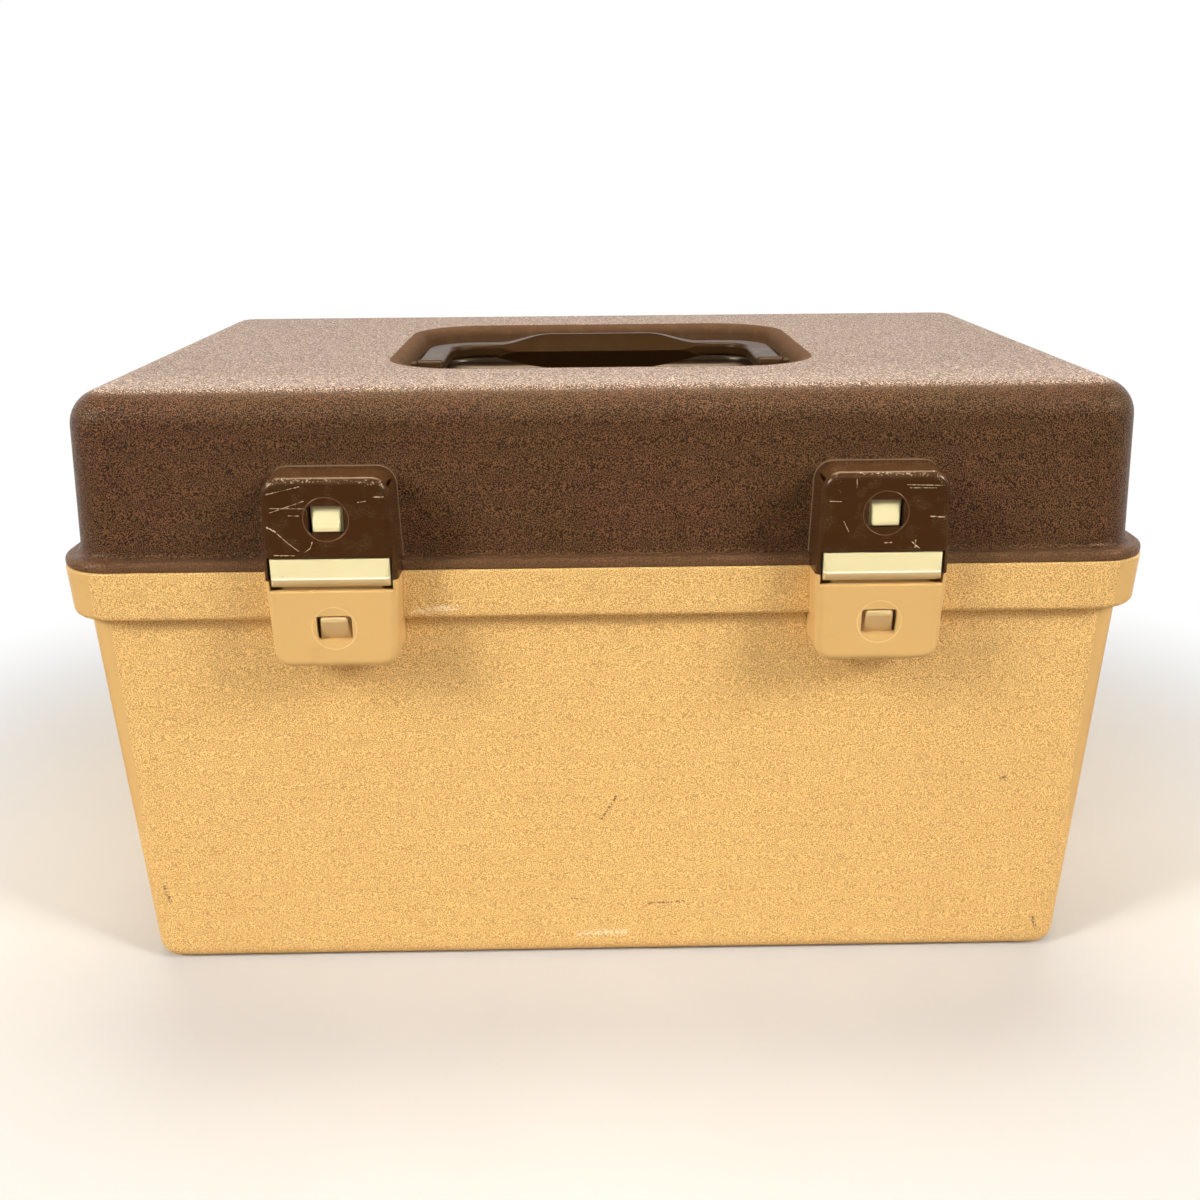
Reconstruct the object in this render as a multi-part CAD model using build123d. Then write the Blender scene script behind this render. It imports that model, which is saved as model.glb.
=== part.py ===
from build123d import *
import math
import os

# A two-tone moulded sewing box: a tan base, a hinged brown lid with a folding handle
# sunk into its top, two ivory snap clips in front and a lift-out tray inside.
# Millimetres. X runs to the right, Y to the back and Z up.
# The origin is under the middle of the base, on the table.

# Case outline
rim_width = 330.0
rim_depth = 212.0
seam_height = 141.7
lid_height = 52.0
wall = 2.4

# Base
base_draft = 3.2
floor_thickness = 2.5
rim_height = 15.5
rim_step = 4.0
rim_corner = 17.0
rim_edge = 2.0
seam_edge = 0.7
base_corner = 8.0
base_foot_edge = 6.0
base_floor_edge = 4.0

# Lid
lid_draft = 2.74
lid_inset = 0.4
lid_corner = 15.0
lid_edge = 11.0
flange_height = 3.2
flange_edge = 1.6
flange_cove = 1.8
bead_height = 2.2
bead_thickness = 1.6
bead_clearance = 0.6

# Well in the lid's top that takes the handle
well_width = 134.4
well_depth = 108.4
well_corner = 22.6
well_drop = 17.0
well_draft = 10.0
well_roll = 4.0
well_floor_edge = 7.0

# Folding handle
handle_width = 129.0
handle_arm_width = 9.2
handle_thickness = 5.0
handle_corner = 17.0
handle_edge = 1.7
handle_pivot_y = -14.0
handle_drop = 6.1
handle_reach = 49.0
grip_length = 90.0
grip_shoulder = 78.0
grip_ridge = 60.0
grip_top_flat = 36.0
grip_bottom_flat = 24.0
grip_rise = 6.0
grip_fall = 7.4
grip_bottom_slope = 14.0
grip_front_bulge = 5.6
grip_back_bulge = 5.0
grip_rim = 1.6
trunnion_radius = 2.3
trunnion_length = 4.2
trunnion_clearance = 0.08
handle_eye_radius = 2.8
socket_boss_wall = 2.2

# Latch housings on the base and the lid
latch_spacing = 159.6
housing_front = 115.0
housing_half_width = 19.3
housing_side_draft = 1.0
housing_rise = 30.6
housing_fall = 27.2
housing_top_lean = 2.3
housing_bottom_lean = 2.6
housing_corner = 5.5
housing_edge = 2.4
plate_thickness = 2.0
pocket_half_width = 17.9
pocket_end_wall = 2.4
notch_above_seam = 7.0
notch_below_seam = 3.1
notch_lip_radius = 0.6
window_width = 10.4
upper_window_height = 8.1
upper_window_from_seam = 14.2
lower_window_height = 7.6
lower_window_from_seam = 10.8
window_corner = 1.0
dish_radius = 6.7
dish_depth = 0.3

# Snap clips
clip_side_clearance = 0.7
clip_plate = 2.0
clip_behind_plate = 0.2
clip_tongue_half_width = 14.5
clip_tongue_end_gap = 1.0
clip_bar_gap_top = 0.45
clip_bar_gap_bottom = 1.1
clip_ridge_proud = 0.8
clip_ridge_below_top = 5.6
clip_end_radius = 1.5
clip_corner = 1.5
clip_slot = 1.1
barb_wide = 9.0
barb_narrow = 7.6
barb_proud = 0.2
barb_gap = 0.4
barb_edge_radius = 0.7
barb_catch_depth = 1.4

# Rear hinges
hinge_spacing = 160.0
knuckle_radius = 4.5
knuckle_length = 10.0
knuckle_gap = 0.4
knuckle_count = 5
knuckle_web_gap = 0.3
pin_radius = 1.5
pin_head_radius = 2.6
pin_head_thickness = 1.2
pin_press_clearance = 0.01
pin_running_clearance = 0.08

# Ribs that carry the tray
rib_depth = 5.2
rib_thickness = 2.0
tray_below_seam = 15.7
long_wall_rib_x = 112.0
end_wall_rib_y = 48.0

# Lift-out tray
tray_play = 2.6
tray_rim_thickness = 2.0
tray_rim_overhang = 4.4
tray_corner = 22.0
tray_wall = 1.8
tray_floor = 1.8
tray_depth = 40.0
tray_partition = 2.4
tray_cell_draft = 1.5
tray_cell_corner = 6.0
tray_cell_edge = 3.0
tray_middle_cell = 104.0
tray_front_cell_depth = 44.0
peg_count = 7
peg_rows = 2
peg_radius = 3.4
peg_draft = 1.5
peg_height = 33.0
peg_dome = 1.2


def spread(height, angle):
    """How far a drafted face moves sideways over a height."""
    return height * math.tan(math.radians(angle))


def block(half_width, half_depth, corner, bottom, top, angle):
    """Rounded block with its outline given at the bottom, which widens upwards by an angle."""
    outline = Plane.XY.offset(bottom) * RectangleRounded(2 * half_width, 2 * half_depth, corner)
    return extrude(outline, amount=top - bottom, taper=-angle)


def box_between(low, high):
    """Plain box from its lowest to its highest corner."""
    size = [b - a for a, b in zip(low, high)]
    middle = [(a + b) / 2 for a, b in zip(low, high)]
    return Pos(*middle) * Box(*size)


def rod(radius, left, right, y, z):
    """Round bar along X."""
    return Pos((left + right) / 2, y, z) * Rot(0, 90, 0) * Cylinder(radius, right - left)


# Places that several pieces share
lid_top = seam_height + lid_height
rim_bottom = seam_height - rim_height
rim_half_width = rim_width / 2
rim_half_depth = rim_depth / 2
rim_foot = spread(rim_height, base_draft)
base_wall_half_width = rim_half_width - rim_foot - rim_step
base_wall_half_depth = rim_half_depth - rim_foot - rim_step
lid_half_width = rim_half_width - lid_inset
lid_half_depth = rim_half_depth - lid_inset
lid_wall_half_width = lid_half_width - rim_step
lid_wall_half_depth = lid_half_depth - rim_step
clip_front = housing_front + clip_ridge_proud
hinge_y = clip_front - knuckle_radius
handle_pivot_z = lid_top - handle_drop
latch_centres = (-latch_spacing / 2, latch_spacing / 2)
hinge_centres = (-hinge_spacing / 2, hinge_spacing / 2)
upper_window_bottom = seam_height + upper_window_from_seam
lower_window_top = seam_height - lower_window_from_seam
lower_window_bottom = lower_window_top - lower_window_height
pocket_top = seam_height + housing_rise - pocket_end_wall
pocket_bottom = seam_height - housing_fall + pocket_end_wall
tray_top = seam_height - tray_below_seam
rib_top = tray_top - tray_rim_thickness
tray_bottom = tray_top - tray_depth
tray_floor_top = tray_bottom + tray_floor


def base_outline(inset, bottom, top, corner):
    """Block that follows the base's drafted wall, set inwards by an inset."""
    shrink = inset + spread(rim_bottom - bottom, base_draft)
    half_width = base_wall_half_width - shrink
    half_depth = base_wall_half_depth - shrink
    return block(half_width, half_depth, corner, bottom, top, base_draft)


def rim_outline(inset, bottom, top, corner):
    """Block that follows the rim band's drafted face, set inwards by an inset."""
    shrink = inset + spread(seam_height - bottom, base_draft)
    return block(rim_half_width - shrink, rim_half_depth - shrink, corner, bottom, top, base_draft)


def lid_outline(inset, bottom, top, corner):
    """Block that follows the lid's drafted wall, set inwards by an inset."""
    shrink = inset + spread(bottom - seam_height, lid_draft)
    half_width = lid_wall_half_width - shrink
    half_depth = lid_wall_half_depth - shrink
    return block(half_width, half_depth, corner, bottom, top, -lid_draft)


def housing(centre_x, far_end, lean, root_y):
    """Solid latch housing from the seam to its far end, above or below it."""
    toward = 1 if far_end > seam_height else -1
    root_half = housing_half_width + spread(housing_front - root_y, housing_side_draft)
    overrun = 2 * housing_edge
    seam_half = root_half + spread(overrun, lean)
    far_half = root_half - spread(abs(far_end - seam_height), lean)
    start = seam_height - toward * overrun
    corners = [(-seam_half, start), (-far_half, far_end), (far_half, far_end), (seam_half, start)]
    outline = make_face(Polyline(*corners, close=True))
    rounded = [v for v in outline.vertices() if abs(v.Y - far_end) < 0.01]
    outline = fillet(rounded, housing_corner)
    plane = Plane(origin=(centre_x, -root_y, 0), x_dir=(1, 0, 0), z_dir=(0, -1, 0))
    solid = extrude(plane * outline, amount=housing_front - root_y, taper=housing_side_draft)
    front = solid.faces().sort_by(Axis.Y)[0]
    solid = fillet(front.edges(), housing_edge)
    reach = housing_front + housing_rise + housing_fall
    half = 2 * housing_half_width
    low = min(seam_height, seam_height + toward * reach)
    high = max(seam_height, seam_height + toward * reach)
    keep = box_between((centre_x - half, -reach, low), (centre_x + half, 0, high))
    return solid & keep


def housing_cuts(centre_x, low, high, notch_low, notch_high, back_y):
    """Pocket behind the front plate, and the notch in the plate for the clip's bar."""
    front_inside = -(housing_front - plate_thickness)
    pocket = box_between(
        (centre_x - pocket_half_width, front_inside, low),
        (centre_x + pocket_half_width, -back_y, high),
    )
    notch = box_between(
        (centre_x - pocket_half_width, -housing_front - plate_thickness, notch_low),
        (centre_x + pocket_half_width, front_inside + plate_thickness / 2, notch_high),
    )
    return pocket + notch


def window_cuts(centre_x, bottom, height):
    """Window for a barb, and the shallow round dish that the mould left about it."""
    middle = bottom + height / 2
    front = Plane(origin=(centre_x, -housing_front, middle), x_dir=(1, 0, 0), z_dir=(0, -1, 0))
    hole = RectangleRounded(window_width, height, window_corner)
    through = 1.5 * plate_thickness
    opening = extrude(front.offset(-through) * hole, amount=2 * through)
    bowl_radius = (dish_radius**2 + dish_depth**2) / (2 * dish_depth)
    dish = Pos(centre_x, -housing_front + dish_depth - bowl_radius, middle) * Sphere(bowl_radius)
    return opening, dish


def knuckle_spans(centre_x):
    """Left and right end of each knuckle of one hinge, with the gaps between them."""
    pitch = knuckle_length + knuckle_gap
    start = centre_x - (knuckle_count * pitch - knuckle_gap) / 2
    return [(start + i * pitch, start + i * pitch + knuckle_length) for i in range(knuckle_count)]


def knuckle(span, web_low, web_high, web_front, clearance):
    """One hinge knuckle with the web that joins it to its shell."""
    left, right = span
    barrel = rod(knuckle_radius, left, right, hinge_y, seam_height)
    web = box_between((left, web_front, web_low), (right, hinge_y, web_high))
    hole = rod(pin_radius + clearance, left - 1, right + 1, hinge_y, seam_height)
    return barrel + web - hole


def make_base():
    """Tan base with its rim band, ledge, tray ribs, latch housings and rear knuckles."""
    body = base_outline(0, 0, rim_bottom + wall / 2, base_corner)
    body = fillet(body.faces().sort_by(Axis.Z)[0].edges(), base_foot_edge)
    band = rim_outline(0, rim_bottom, seam_height, rim_corner)
    band = fillet(band.faces().sort_by(Axis.Z)[0].edges(), rim_edge)
    band = fillet(band.faces().sort_by(Axis.Z)[-1].edges(), seam_edge)
    base = body + band

    housing_low = seam_height - housing_fall
    root_y = base_wall_half_depth - spread(rim_bottom - housing_low, base_draft) - wall / 2
    for x in latch_centres:
        base += housing(x, housing_low, housing_bottom_lean, root_y)

    cavity_corner = base_corner - wall / 2
    cavity = base_outline(wall, floor_thickness, rim_bottom + 2 * wall, cavity_corner)
    cavity = fillet(cavity.faces().sort_by(Axis.Z)[0].edges(), base_floor_edge)
    mouth = rim_outline(wall, rim_bottom + wall, seam_height + wall, rim_corner - wall)
    base -= cavity + mouth

    notch_low = seam_height - notch_below_seam
    for x in latch_centres:
        base -= housing_cuts(x, pocket_bottom, seam_height + 1, notch_low, seam_height + 1, rim_half_depth)
        opening, dish = window_cuts(x, lower_window_bottom, lower_window_height)
        base -= opening
        base -= dish
    lips = [e for e in base.edges().filter_by(Axis.X) if abs(e.center().Y + housing_front) < 0.01]
    base = fillet([e for e in lips if abs(e.center().Z - notch_low) < 0.01], notch_lip_radius)

    rib_ring = base_outline(wall / 2, floor_thickness / 2, rib_top, cavity_corner) & body
    rib_ring -= base_outline(wall + rib_depth, floor_thickness / 2, rib_top, cavity_corner)
    half = rib_thickness / 2
    slabs = []
    for x in (-long_wall_rib_x, long_wall_rib_x):
        slabs.append(box_between((x - half, -rim_depth, 0), (x + half, rim_depth, rib_top)))
    for y in (-end_wall_rib_y, end_wall_rib_y):
        slabs.append(box_between((-rim_width, y - half, 0), (rim_width, y + half, rib_top)))
    for slab in slabs:
        base += rib_ring & slab

    web_high = seam_height - knuckle_web_gap
    web_low = seam_height - knuckle_radius
    web_front = rim_half_depth - wall / 2 - rim_foot
    for x in hinge_centres:
        for span in knuckle_spans(x)[0::2]:
            base += knuckle(span, web_low, web_high, web_front, pin_press_clearance)
    return base


def well_block(grow, drop, edge):
    """Block of the handle well: the hollow itself, or the shell round it when it grows."""
    lean = spread(drop, well_draft)
    half_width = well_width / 2 + grow - lean
    half_depth = well_depth / 2 + grow - lean
    solid = block(half_width, half_depth, well_corner + grow - lean, lid_top - drop, lid_top, well_draft)
    return fillet(solid.faces().sort_by(Axis.Z)[0].edges(), edge)


def make_lid():
    """Brown lid with its flange, handle well, latch housings and rear knuckles."""
    shell = lid_outline(0, seam_height, lid_top, lid_corner)
    shell = fillet(shell.faces().sort_by(Axis.Z)[-1].edges(), lid_edge)
    flange_corner = lid_corner + rim_step - 2
    flange_top = seam_height + flange_height
    flange = block(lid_half_width, lid_half_depth, flange_corner, seam_height, flange_top, 0)
    flange = fillet(flange.faces().sort_by(Axis.Z)[-1].edges(), flange_edge)
    flange = fillet(flange.faces().sort_by(Axis.Z)[0].edges(), seam_edge)
    lid = shell + flange
    shoulder = lid.faces().filter_by(Axis.Z).sort_by(Axis.Z)
    shoulder = [f for f in shoulder if abs(f.center().Z - flange_top) < 0.01][0]
    lid = fillet(shoulder.inner_wires()[0].edges(), flange_cove)

    housing_high = seam_height + housing_rise
    root_y = lid_wall_half_depth - spread(housing_rise, lid_draft) - wall / 2
    for x in latch_centres:
        lid += housing(x, housing_high, housing_top_lean, root_y)

    cavity = lid_outline(wall, seam_height - 1, lid_top - wall, lid_corner - wall)
    cavity = fillet(cavity.faces().sort_by(Axis.Z)[-1].edges(), lid_edge - wall)
    lid -= cavity

    well_wall = wall / math.cos(math.radians(well_draft))
    lid += well_block(well_wall, well_drop + wall, well_floor_edge + wall)
    socket_end = handle_width / 2 + trunnion_length
    for side in (-1, 1):
        ends = sorted((side * handle_width / 2, side * (socket_end + socket_boss_wall)))
        boss_radius = trunnion_radius + socket_boss_wall
        lid += rod(boss_radius, ends[0], ends[1], handle_pivot_y, handle_pivot_z)
    lid -= well_block(0, well_drop, well_floor_edge)
    top_face = [f for f in lid.faces().filter_by(Axis.Z) if abs(f.center().Z - lid_top) < 0.01][0]
    lid = fillet(top_face.inner_wires()[0].edges(), well_roll)
    socket_half = socket_end + trunnion_clearance
    lid -= rod(trunnion_radius + trunnion_clearance, -socket_half, socket_half, handle_pivot_y, handle_pivot_z)

    notch_high = seam_height + notch_above_seam
    for x in latch_centres:
        lid -= housing_cuts(x, seam_height - 1, pocket_top, seam_height - 1, notch_high, lid_half_depth)
        opening, dish = window_cuts(x, upper_window_bottom, upper_window_height)
        lid -= opening
        lid -= dish

    bead_inset = wall + bead_clearance
    bead_low = seam_height - bead_height
    bead_corner = rim_corner - bead_inset
    bead_half_width = rim_half_width - bead_inset
    bead_half_depth = rim_half_depth - bead_inset
    bead = block(bead_half_width, bead_half_depth, bead_corner, bead_low, seam_height + 1, 0)
    hole_half_width = bead_half_width - bead_thickness
    hole_half_depth = bead_half_depth - bead_thickness
    hole_corner = bead_corner - bead_thickness
    bead -= block(hole_half_width, hole_half_depth, hole_corner, bead_low - 1, seam_height + 2, 0)
    lid += bead

    web_low = seam_height + knuckle_web_gap
    web_high = seam_height + knuckle_radius
    for x in hinge_centres:
        for span in knuckle_spans(x)[1::2]:
            lid += knuckle(span, web_low, web_high, lid_half_depth - rim_step / 2, pin_running_clearance)
    return lid


def make_handle():
    """Folding handle: flat bail, lens-shaped grip and a trunnion at each end."""
    half = handle_width / 2
    back = handle_pivot_y + handle_reach
    inner_half = half - handle_arm_width
    inner_back = back - handle_arm_width
    corners = [
        (-half, handle_pivot_y), (-half, back), (half, back), (half, handle_pivot_y),
        (inner_half, handle_pivot_y), (inner_half, inner_back),
        (-inner_half, inner_back), (-inner_half, handle_pivot_y),
    ]
    plan = make_face(Polyline(*corners, close=True))
    plan = fillet([v for v in plan.vertices() if abs(v.Y - back) < 0.01], handle_corner)
    inner_corner = handle_corner - handle_arm_width + 2
    plan = fillet([v for v in plan.vertices() if abs(v.Y - inner_back) < 0.01], inner_corner)
    low = handle_pivot_z - handle_thickness / 2
    bail = extrude(Plane.XY.offset(low) * plan, amount=handle_thickness)
    flats = bail.faces().filter_by(Axis.Z)
    bail = fillet(flats[0].edges() + flats[1].edges(), handle_edge)

    for side in (-1, 1):
        ends = sorted((side * inner_half, side * half))
        eye = rod(handle_eye_radius, ends[0], ends[1], handle_pivot_y, handle_pivot_z)
        bail += fillet(eye.edges().filter_by(GeomType.CIRCLE), handle_edge / 2)
        ends = sorted((side * inner_half, side * (half + trunnion_length)))
        bail += rod(trunnion_radius, ends[0], ends[1], handle_pivot_y, handle_pivot_z)
    return bail + make_grip(back)


def make_grip(back):
    """Lens-shaped grip, creased along its front, whose thin ends run into the bail."""
    ridge_y = back - handle_arm_width / 2 - grip_front_bulge
    back_y = back - handle_arm_width / 2 + grip_back_bulge
    z = handle_pivot_z
    top = z + grip_rise
    bottom = z - grip_fall
    thin = handle_thickness / 2 - 0.1
    top_flat = grip_top_flat / 2
    bottom_flat = grip_bottom_flat / 2
    shoulder = grip_shoulder / 2
    tip = grip_length / 2
    slope = math.radians(grip_bottom_slope)
    outline = [Line((-top_flat, top), (top_flat, top)), Line((-bottom_flat, bottom), (bottom_flat, bottom))]
    for side in (-1, 1):
        upper_end = (side * shoulder, z + thin)
        lower_end = (side * shoulder, z - thin)
        level = (side, 0)
        rising = (side * math.cos(slope), math.sin(slope))
        outline.append(Spline((side * top_flat, top), upper_end, tangents=[level, level]))
        outline.append(Line(upper_end, (side * tip, z + thin)))
        outline.append(Line((side * tip, z + thin), (side * tip, z - thin)))
        outline.append(Line((side * tip, z - thin), lower_end))
        outline.append(Spline((side * bottom_flat, bottom), lower_end, tangents=[level, rising]))
    front_view = make_face(outline)
    length = grip_front_bulge + grip_back_bulge + 2
    prism = extrude(Plane.XZ.offset(-(back_y + 1)) * front_view, amount=length)
    edge_front = (ridge_y + back_y) / 2 - grip_rim / 2
    edge_back = edge_front + grip_rim
    section = [
        Line((ridge_y, z), (edge_front, top)),
        Line((edge_front, top), (edge_back, top)),
        ThreePointArc((edge_back, top), (back_y, z), (edge_back, bottom)),
        Line((edge_back, bottom), (edge_front, bottom)),
        Line((edge_front, bottom), (ridge_y, z)),
    ]
    profile = extrude(Plane.YZ * make_face(section), amount=tip, both=True)
    return prism & profile & grip_plan(ridge_y, back_y, back, bottom, top)


def grip_plan(ridge_y, back_y, back, bottom, top):
    """Block with the grip's outline from above, which sinks into the bail at both ends."""
    ridge = grip_ridge / 2
    tip = grip_length / 2
    tip_front = back - handle_arm_width + 0.7 * handle_edge
    tip_back = back - 0.8 * handle_edge
    outline = [
        Line((-ridge, ridge_y), (ridge, ridge_y)),
        Line((-ridge, back_y), (ridge, back_y)),
    ]
    for side in (-1, 1):
        level = (side, 0)
        outline.append(Spline((side * ridge, ridge_y), (side * tip, tip_front), tangents=[level, level]))
        outline.append(Line((side * tip, tip_front), (side * tip, tip_back)))
        outline.append(Spline((side * ridge, back_y), (side * tip, tip_back), tangents=[level, level]))
    return extrude(Plane.XY.offset(bottom - 1) * make_face(outline), amount=top - bottom + 2)


def make_barb(centre_x, catch_z, flush_z):
    """Wedge that stands through a window, highest at its catch."""
    front = housing_front + barb_proud
    plate_y = housing_front - plate_thickness - clip_behind_plate
    root_y = plate_y - clip_plate / 2
    toward = 1 if flush_z > catch_z else -1
    flat_end = catch_z + toward * barb_catch_depth
    side = [
        (-root_y, catch_z), (-front, catch_z), (-front, flat_end),
        (-plate_y, flush_z), (-root_y, flush_z),
    ]
    profile = make_face(Plane.YZ * Polyline(*side, close=True))
    wedge = Pos(centre_x, 0, 0) * extrude(profile, amount=barb_wide, both=True)
    narrow = barb_narrow / 2
    wide = barb_wide / 2
    face = [(-narrow, catch_z), (-wide, flush_z), (wide, flush_z), (narrow, catch_z)]
    plane = Plane(origin=(centre_x, -root_y, 0), x_dir=(1, 0, 0), z_dir=(0, -1, 0))
    trim = extrude(plane * make_face(Polyline(*face, close=True)), amount=front)
    barb = wedge & trim
    face_edges = [e for e in barb.edges() if e.center().Y < -plate_y - 0.1]
    return fillet(face_edges, barb_edge_radius)


def make_clip(centre_x):
    """Ivory snap clip: a bar between two tongues, each with a barb on a sprung finger."""
    plate_y = housing_front - plate_thickness - clip_behind_plate
    back_y = plate_y - clip_plate
    bar_top = seam_height + notch_above_seam - clip_bar_gap_top
    bar_bottom = seam_height - notch_below_seam + clip_bar_gap_bottom
    ridge_z = bar_top - clip_ridge_below_top
    bar_half = pocket_half_width - clip_side_clearance
    lip_y = plate_y + (clip_front - plate_y) / 3
    bar_side = [
        Line((-back_y, bar_top), (-housing_front, bar_top)),
        Line((-housing_front, bar_top), (-clip_front, ridge_z)),
        TangentArc((-clip_front, ridge_z), (-lip_y, bar_bottom), tangent=(0, -1)),
        Line((-lip_y, bar_bottom), (-back_y, bar_bottom)),
        Line((-back_y, bar_bottom), (-back_y, bar_top)),
    ]
    profile = make_face([Plane.YZ * piece for piece in bar_side])
    bar = Pos(centre_x, 0, 0) * extrude(profile, amount=bar_half + 1, both=True)
    envelope = box_between(
        (centre_x - bar_half, -clip_front - 0.01, bar_bottom - 0.01), (centre_x + bar_half, -back_y, bar_top)
    )
    upright = envelope.edges().filter_by(Axis.Z).group_by(Axis.Y)[0]
    envelope = fillet(upright, clip_end_radius)
    lower = [e for e in envelope.edges().filter_by(Axis.Y) if e.center().Z < ridge_z]
    bar &= fillet(lower, clip_end_radius / 2)

    tongue_top = pocket_top - clip_tongue_end_gap
    tongue_bottom = pocket_bottom + clip_tongue_end_gap
    half = clip_tongue_half_width
    tongue = box_between(
        (centre_x - half, -plate_y, tongue_bottom), (centre_x + half, -back_y, tongue_top)
    )
    corner_edges = tongue.edges().filter_by(Axis.Y)
    tongue = fillet(corner_edges, clip_corner)

    finger = barb_wide / 2
    upper_root = bar_top + clip_slot
    lower_root = bar_bottom - clip_slot
    for side in (-1, 1):
        edges = sorted((centre_x + side * finger, centre_x + side * (finger + clip_slot)))
        for low, high in ((upper_root, tongue_top + 1), (tongue_bottom - 1, lower_root)):
            tongue -= box_between((edges[0], -plate_y - 1, low), (edges[1], -back_y + 1, high))
    upper_catch = upper_window_bottom + barb_gap
    upper_flush = upper_window_bottom + upper_window_height - barb_gap / 2
    lower_catch = lower_window_top - barb_gap
    lower_flush = lower_window_bottom + barb_gap / 2
    clip = bar + tongue
    clip += make_barb(centre_x, upper_catch, upper_flush)
    clip += make_barb(centre_x, lower_catch, lower_flush)
    return clip


def make_pin(centre_x):
    """Steel hinge pin with a flat head at its outer end."""
    spans = knuckle_spans(centre_x)
    left = spans[0][0]
    right = spans[-1][1]
    outward = 1 if centre_x > 0 else -1
    shank = rod(pin_radius, left, right, hinge_y, seam_height)
    inner_end = shank.edges().filter_by(GeomType.CIRCLE).sort_by(Axis.X)
    inner_end = inner_end[0] if outward > 0 else inner_end[-1]
    shank = chamfer(inner_end, pin_radius / 4)
    end = right if outward > 0 else left
    ends = sorted((end, end + outward * pin_head_thickness))
    head = rod(pin_head_radius, ends[0], ends[1], hinge_y, seam_height)
    rim = head.edges().filter_by(GeomType.CIRCLE).sort_by(Axis.X)
    rim = rim[-1] if outward > 0 else rim[0]
    return shank + fillet(rim, pin_head_thickness / 2)


def tray_cell(x_low, x_high, y_low, y_high):
    """Hollow of one compartment, from its floor to above the tray's rim."""
    height = tray_top - tray_floor_top
    lean = spread(height, tray_cell_draft)
    half_width = (x_high - x_low) / 2 - lean
    half_depth = (y_high - y_low) / 2 - lean
    hollow = block(half_width, half_depth, tray_cell_corner, tray_floor_top, tray_top, tray_cell_draft)
    hollow = fillet(hollow.faces().sort_by(Axis.Z)[0].edges(), tray_cell_edge)
    return Pos((x_low + x_high) / 2, (y_low + y_high) / 2, 0) * hollow


def make_tray():
    """Ivory lift-out tray with five compartments in front and thread pegs at the back."""
    shrink = wall + tray_play + spread(rim_bottom - rib_top, base_draft)
    rim_half_x = base_wall_half_width - shrink
    rim_half_y = base_wall_half_depth - shrink
    rim = block(rim_half_x, rim_half_y, tray_corner, rib_top, tray_top, 0)
    rim = fillet(rim.faces().sort_by(Axis.Z)[-1].edges(), tray_rim_thickness / 2)
    lean = spread(tray_depth, base_draft)
    body_half_x = rim_half_x - tray_rim_overhang
    body_half_y = rim_half_y - tray_rim_overhang
    foot_half_x = body_half_x - lean
    foot_half_y = body_half_y - lean
    foot_corner = tray_corner - tray_rim_overhang / 2 - lean
    body_top = tray_top - tray_rim_thickness / 2
    body = block(foot_half_x, foot_half_y, foot_corner, tray_bottom, body_top, base_draft)
    body = fillet(body.faces().sort_by(Axis.Z)[0].edges(), tray_cell_edge)
    tray = rim + body

    right = body_half_x - tray_wall
    back = body_half_y - tray_wall
    half_wall = tray_partition / 2
    middle = tray_middle_cell / 2
    front_split = -back + tray_front_cell_depth
    cells = tray_cell(-right, right, half_wall, back)
    cells += tray_cell(-middle, middle, -back, -half_wall)
    for side in (-1, 1):
        ends = sorted((side * (middle + tray_partition), side * right))
        cells += tray_cell(ends[0], ends[1], -back, front_split)
        cells += tray_cell(ends[0], ends[1], front_split + tray_partition, -half_wall)
    inside_half_x = foot_half_x - tray_wall
    inside_half_y = foot_half_y - tray_wall
    inside_corner = foot_corner - tray_wall
    tray -= cells & block(inside_half_x, inside_half_y, inside_corner, tray_bottom, tray_top, base_draft)

    bay_depth = back - half_wall
    tip_radius = peg_radius - spread(peg_height, peg_draft)
    peg = Cone(peg_radius, tip_radius, peg_height, align=(Align.CENTER, Align.CENTER, Align.MIN))
    peg = fillet(peg.edges().filter_by(GeomType.CIRCLE).sort_by(Axis.Z)[-1], peg_dome)
    for row in range(peg_rows):
        y = half_wall + bay_depth * (row + 0.5) / peg_rows
        for column in range(peg_count):
            x = -right + 2 * right * (column + 0.5) / peg_count
            tray += Pos(x, y, tray_floor_top) * peg
    return tray


os.makedirs("parts", exist_ok=True)
pieces = {
    "base_shell": make_base(),
    "lid_shell": make_lid(),
    "handle": make_handle(),
    "latch_clip_left": make_clip(latch_centres[0]),
    "latch_clip_right": make_clip(latch_centres[1]),
    "hinge_pin_left": make_pin(hinge_centres[0]),
    "hinge_pin_right": make_pin(hinge_centres[1]),
    "tray": make_tray(),
}
for name, piece in pieces.items():
    export_step(piece, f"parts/{name}.step")
    print(name, len(piece.solids()), round(piece.volume), piece.is_valid)
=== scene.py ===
# %% [markdown]
# # A moulded sewing box
#
# The box is injection-moulded plastic: a tan base, a brown lid, a dark handle that folds into a
# well in the lid, and two ivory snap clips. The solid model already gives every piece its true
# shape, so this lesson is about surfaces. We place a camera and a soft studio, then build the
# finishes from nodes: leather grain, polish, scuffs, scratches and a little dirt.

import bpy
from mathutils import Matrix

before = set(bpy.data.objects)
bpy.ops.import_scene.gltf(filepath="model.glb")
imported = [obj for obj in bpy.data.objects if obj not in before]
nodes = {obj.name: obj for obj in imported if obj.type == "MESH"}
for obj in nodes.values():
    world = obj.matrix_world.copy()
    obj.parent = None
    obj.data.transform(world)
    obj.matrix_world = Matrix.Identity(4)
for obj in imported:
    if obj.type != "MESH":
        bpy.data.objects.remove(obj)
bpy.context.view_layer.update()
print("pieces:", ", ".join(sorted(nodes)))

# %% [markdown]
# The model is in metres, while the sizes of a box are easier to read in millimetres. One small
# value, `MM`, turns one into the other. The Standard view transform shows a colour on screen as
# it was mixed, which makes it possible to compare the render with the real plastic.

# %% Units and the view transform
import math

import bpy
from mathutils import Matrix, Vector

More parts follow.
